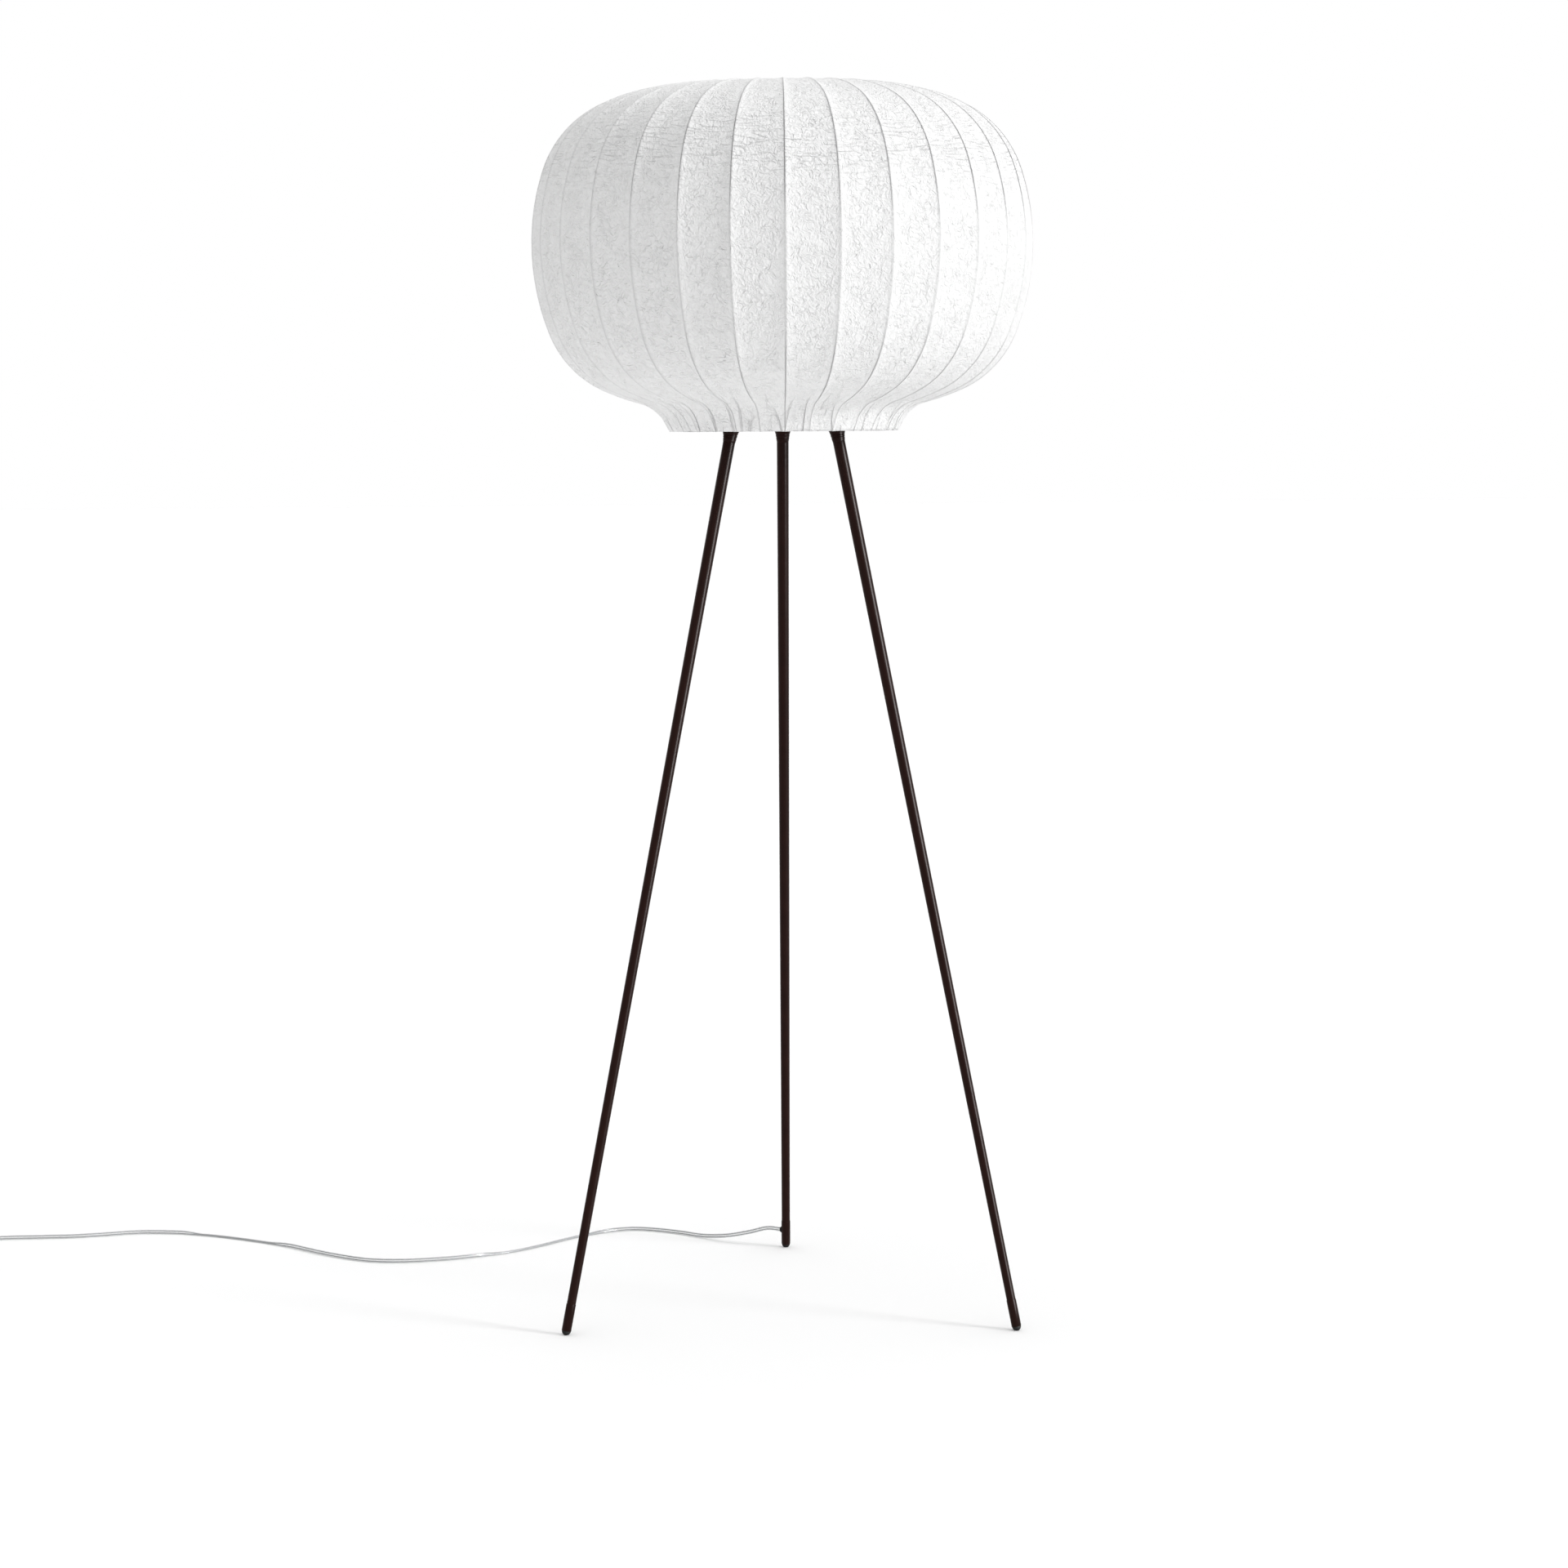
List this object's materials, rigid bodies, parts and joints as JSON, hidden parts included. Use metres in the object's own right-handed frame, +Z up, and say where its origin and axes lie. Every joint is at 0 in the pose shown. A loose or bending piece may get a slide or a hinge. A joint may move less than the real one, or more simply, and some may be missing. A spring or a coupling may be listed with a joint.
{
  "type": "floor lamp",
  "caption": "Free-standing floor lamp: a wide ribbed paper lantern on slim splayed tube legs, with a mains lead, foot switch and two-pin plug.",
  "frame": {"origin": "on the lantern's axis at floor level, under the lantern's middle", "axes": "+Z up along the lantern's axis, +Y towards the back leg that the cord leaves, -Y between the two front legs, +X to the right seen from the front"},
  "size_m": [1.4264, 0.7303, 1.4797],
  "materials": {
    "shade_paper": "matte, crinkled and slightly see-through",
    "rib_wire": "white enamelled steel wire",
    "leg_lacquer": "dark brown satin lacquer",
    "zinc_steel": "zinc plated",
    "holder_bakelite": "black heat-proof moulding",
    "holder_ceramic": "unglazed white",
    "contact_brass": "plain",
    "cap_nickel": "nickel plated, rolled",
    "bulb_plastic": "white",
    "bulb_glass": "opal white",
    "tip_rubber": "black",
    "cord_pvc": "clear sheath over grey wires",
    "tie_nylon": "grey strap",
    "switch_plastic": "white, slight gloss",
    "button_plastic": "grey, slight gloss",
    "spring_steel": "plain wire",
    "block_plastic": "black moulding",
    "boot_pvc": "white flexible",
    "pin_nickel": "nickel plated"
  },
  "bodies": {
    "lamp": {"shade_skin": "shade_paper", "shade_ribs": "rib_wire", "top_ring": "rib_wire", "rim_ring": "rib_wire", "rim_clips": "zinc_steel", "clip_screws": "zinc_steel", "hub_plate": "leg_lacquer", "leg_socket_left": "leg_lacquer", "leg_socket_right": "leg_lacquer", "leg_socket_back": "leg_lacquer", "socket_nuts": "zinc_steel", "leg_left": "leg_lacquer", "leg_right": "leg_lacquer", "leg_back": "leg_lacquer", "foot_sleeve_left": "leg_lacquer", "foot_sleeve_right": "leg_lacquer", "foot_sleeve_back": "leg_lacquer", "foot_tip_left": "tip_rubber", "foot_tip_right": "tip_rubber", "foot_tip_back": "tip_rubber", "stem_flange": "leg_lacquer", "flange_screws": "zinc_steel", "stem_tube": "leg_lacquer", "stem_nut": "zinc_steel", "holder_cap": "holder_bakelite", "holder_insert": "holder_ceramic", "holder_skirt": "holder_bakelite", "holder_ring": "holder_bakelite", "screw_shell": "contact_brass", "centre_contact": "contact_brass", "inner_lead": "cord_pvc", "cord_bush": "tip_rubber", "cord_run": "cord_pvc", "cord_link": "cord_pvc", "cord_coil": "cord_pvc", "cord_end": "cord_pvc", "cord_tie": "tie_nylon", "switch_base": "switch_plastic", "switch_housing": "switch_plastic", "switch_spring": "spring_steel", "switch_block": "block_plastic", "switch_boots": "boot_pvc", "switch_screws": "zinc_steel", "plug_body": "boot_pvc", "plug_pins": "pin_nickel"},
    "bulb": {"bulb_contact": "contact_brass", "bulb_screw_cap": "cap_nickel", "bulb_collar": "bulb_plastic", "bulb_globe": "bulb_glass"},
    "button": {"switch_button": "button_plastic"}
  },
  "joints": [
    {"name": "bulb_lift", "type": "slide", "parent": "lamp", "child": "bulb", "axis": [0, 0, 1], "range_m": [0, 0.31]},
    {"name": "switch_press", "type": "slide", "parent": "lamp", "child": "button", "axis": [0, 0, -1], "range_m": [0, 0.003], "stiffness_N_per_m": 2500, "deforming": ["switch_spring"]}
  ]
}
